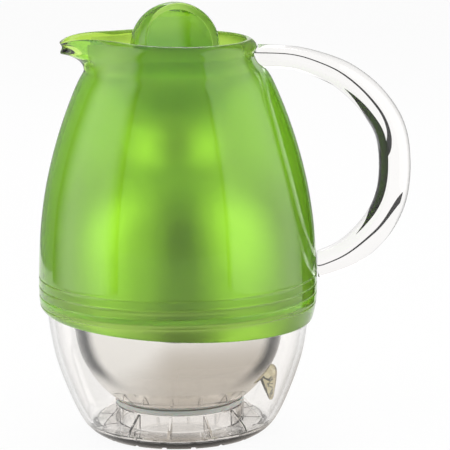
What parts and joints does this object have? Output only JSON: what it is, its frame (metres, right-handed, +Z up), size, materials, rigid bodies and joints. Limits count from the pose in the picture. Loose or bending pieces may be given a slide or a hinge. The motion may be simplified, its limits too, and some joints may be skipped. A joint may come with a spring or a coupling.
{
  "type": "thermal carafe",
  "caption": "Vacuum jug with a frosted green shell and spout over a clear bowl base, a silvered glass flask inside, a clear C-shaped handle and a screw stopper with a round grip.",
  "frame": {"origin": "on the table, at the middle of the bowl's flat underside, on the axis of the jug", "axes": "+Z up along the jug's axis, +X towards the handle, -X towards the spout"},
  "size_m": [0.209, 0.1566, 0.2423],
  "materials": {
    "shell_green": "frosted translucent lime green, glossy outside",
    "clear_green": "clear tinted lime green, polished",
    "clear_plastic": "clear polished acrylic",
    "silicone": "translucent white silicone, matte",
    "silvered_glass": "silvered glass, bright",
    "tip_glass": "clear brownish glass",
    "pad": "pressed fibre, matte",
    "foam": "rigid foam, matte"
  },
  "bodies": {
    "jug": {"outer_shell": "shell_green", "handle": "clear_plastic", "base_bowl": "clear_plastic", "hem_seal": "silicone", "flask_outer": "silvered_glass", "flask_inner": "silvered_glass", "flask_seal_tip": "tip_glass", "spacer_pad_1": "pad", "spacer_pad_2": "pad", "spacer_pad_3": "pad", "support_ring": "clear_plastic", "seat_ring": "silicone", "pour_funnel": "clear_green", "neck_gasket": "silicone"},
    "gasket": {"stopper_gasket": "silicone"},
    "seal": {"stopper_seal_ring": "silicone"},
    "stopper": {"stopper_knob": "clear_green", "stopper_flange": "clear_green", "stopper_plug": "clear_green", "stopper_core": "foam"}
  },
  "joints": [
    {"name": "stopper_rise", "type": "slide", "parent": "jug", "child": "gasket", "axis": [0, 0, 1], "range_m": [0, 0.006]},
    {"name": "stopper_lift", "type": "slide", "parent": "gasket", "child": "seal", "axis": [0, 0, 1], "range_m": [0, 0.06]},
    {"name": "stopper_turn", "type": "hinge", "parent": "seal", "child": "stopper", "pos_m": [0, 0, 0.2], "axis": [0, 0, 1], "range_deg": [0, 360]}
  ],
  "couplings": [
    {"joint": "stopper_rise", "follows": "stopper_turn", "m_per_rad": 0.00095493}
  ]
}
